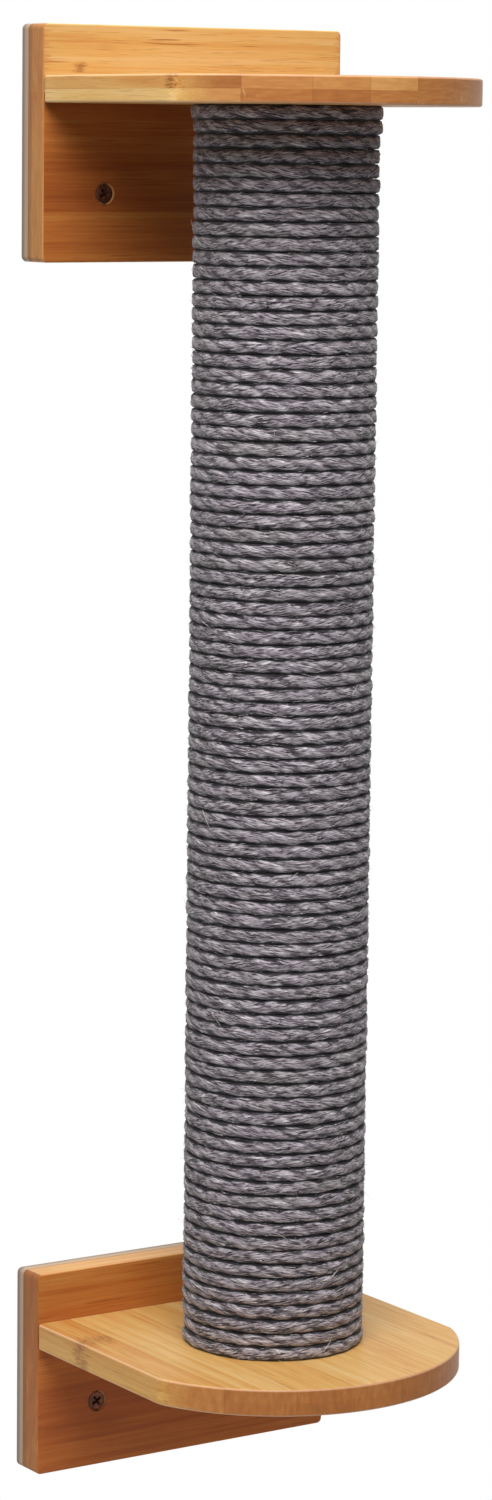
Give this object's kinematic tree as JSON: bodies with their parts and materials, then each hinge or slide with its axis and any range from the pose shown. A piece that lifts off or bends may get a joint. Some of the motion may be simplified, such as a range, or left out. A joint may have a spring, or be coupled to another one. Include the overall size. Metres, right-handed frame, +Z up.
{
  "type": "wall cat scratcher",
  "caption": "Wall-mounted cat scratching post: a rope-wound upright held between round-fronted bamboo shelf brackets screwed to the wall.",
  "frame": {"origin": "centre of the four wall screws, on the wall's face behind the back plates", "axes": "+Z up along the post, +Y into the wall, +X to the right as seen from the room"},
  "size_m": [0.152, 0.202, 0.6295],
  "materials": {
    "bamboo": "satin lacquer",
    "tube_cardboard": "matt",
    "plug_wood": "raw",
    "dowel_wood": "raw",
    "zinc_steel": "zinc plated",
    "dark_steel": "black phosphate",
    "sisal_rope": "dyed grey, matt"
  },
  "bodies": {
    "root": {"upper_backplate": "bamboo", "lower_backplate": "bamboo", "upper_shelf": "bamboo", "lower_shelf": "bamboo", "post_core_tube": "tube_cardboard", "upper_end_plug": "plug_wood", "lower_end_plug": "plug_wood", "upper_threaded_insert": "zinc_steel", "lower_threaded_insert": "zinc_steel", "upper_post_bolt": "zinc_steel", "lower_post_bolt": "zinc_steel", "upper_bolt_washer": "zinc_steel", "lower_bolt_washer": "zinc_steel", "upper_bracket_screws": "zinc_steel", "lower_bracket_screws": "zinc_steel", "upper_dowels": "dowel_wood", "lower_dowels": "dowel_wood", "upper_wall_screws": "dark_steel", "lower_wall_screws": "dark_steel", "rope_winding": "sisal_rope"}
  },
  "joints": []
}
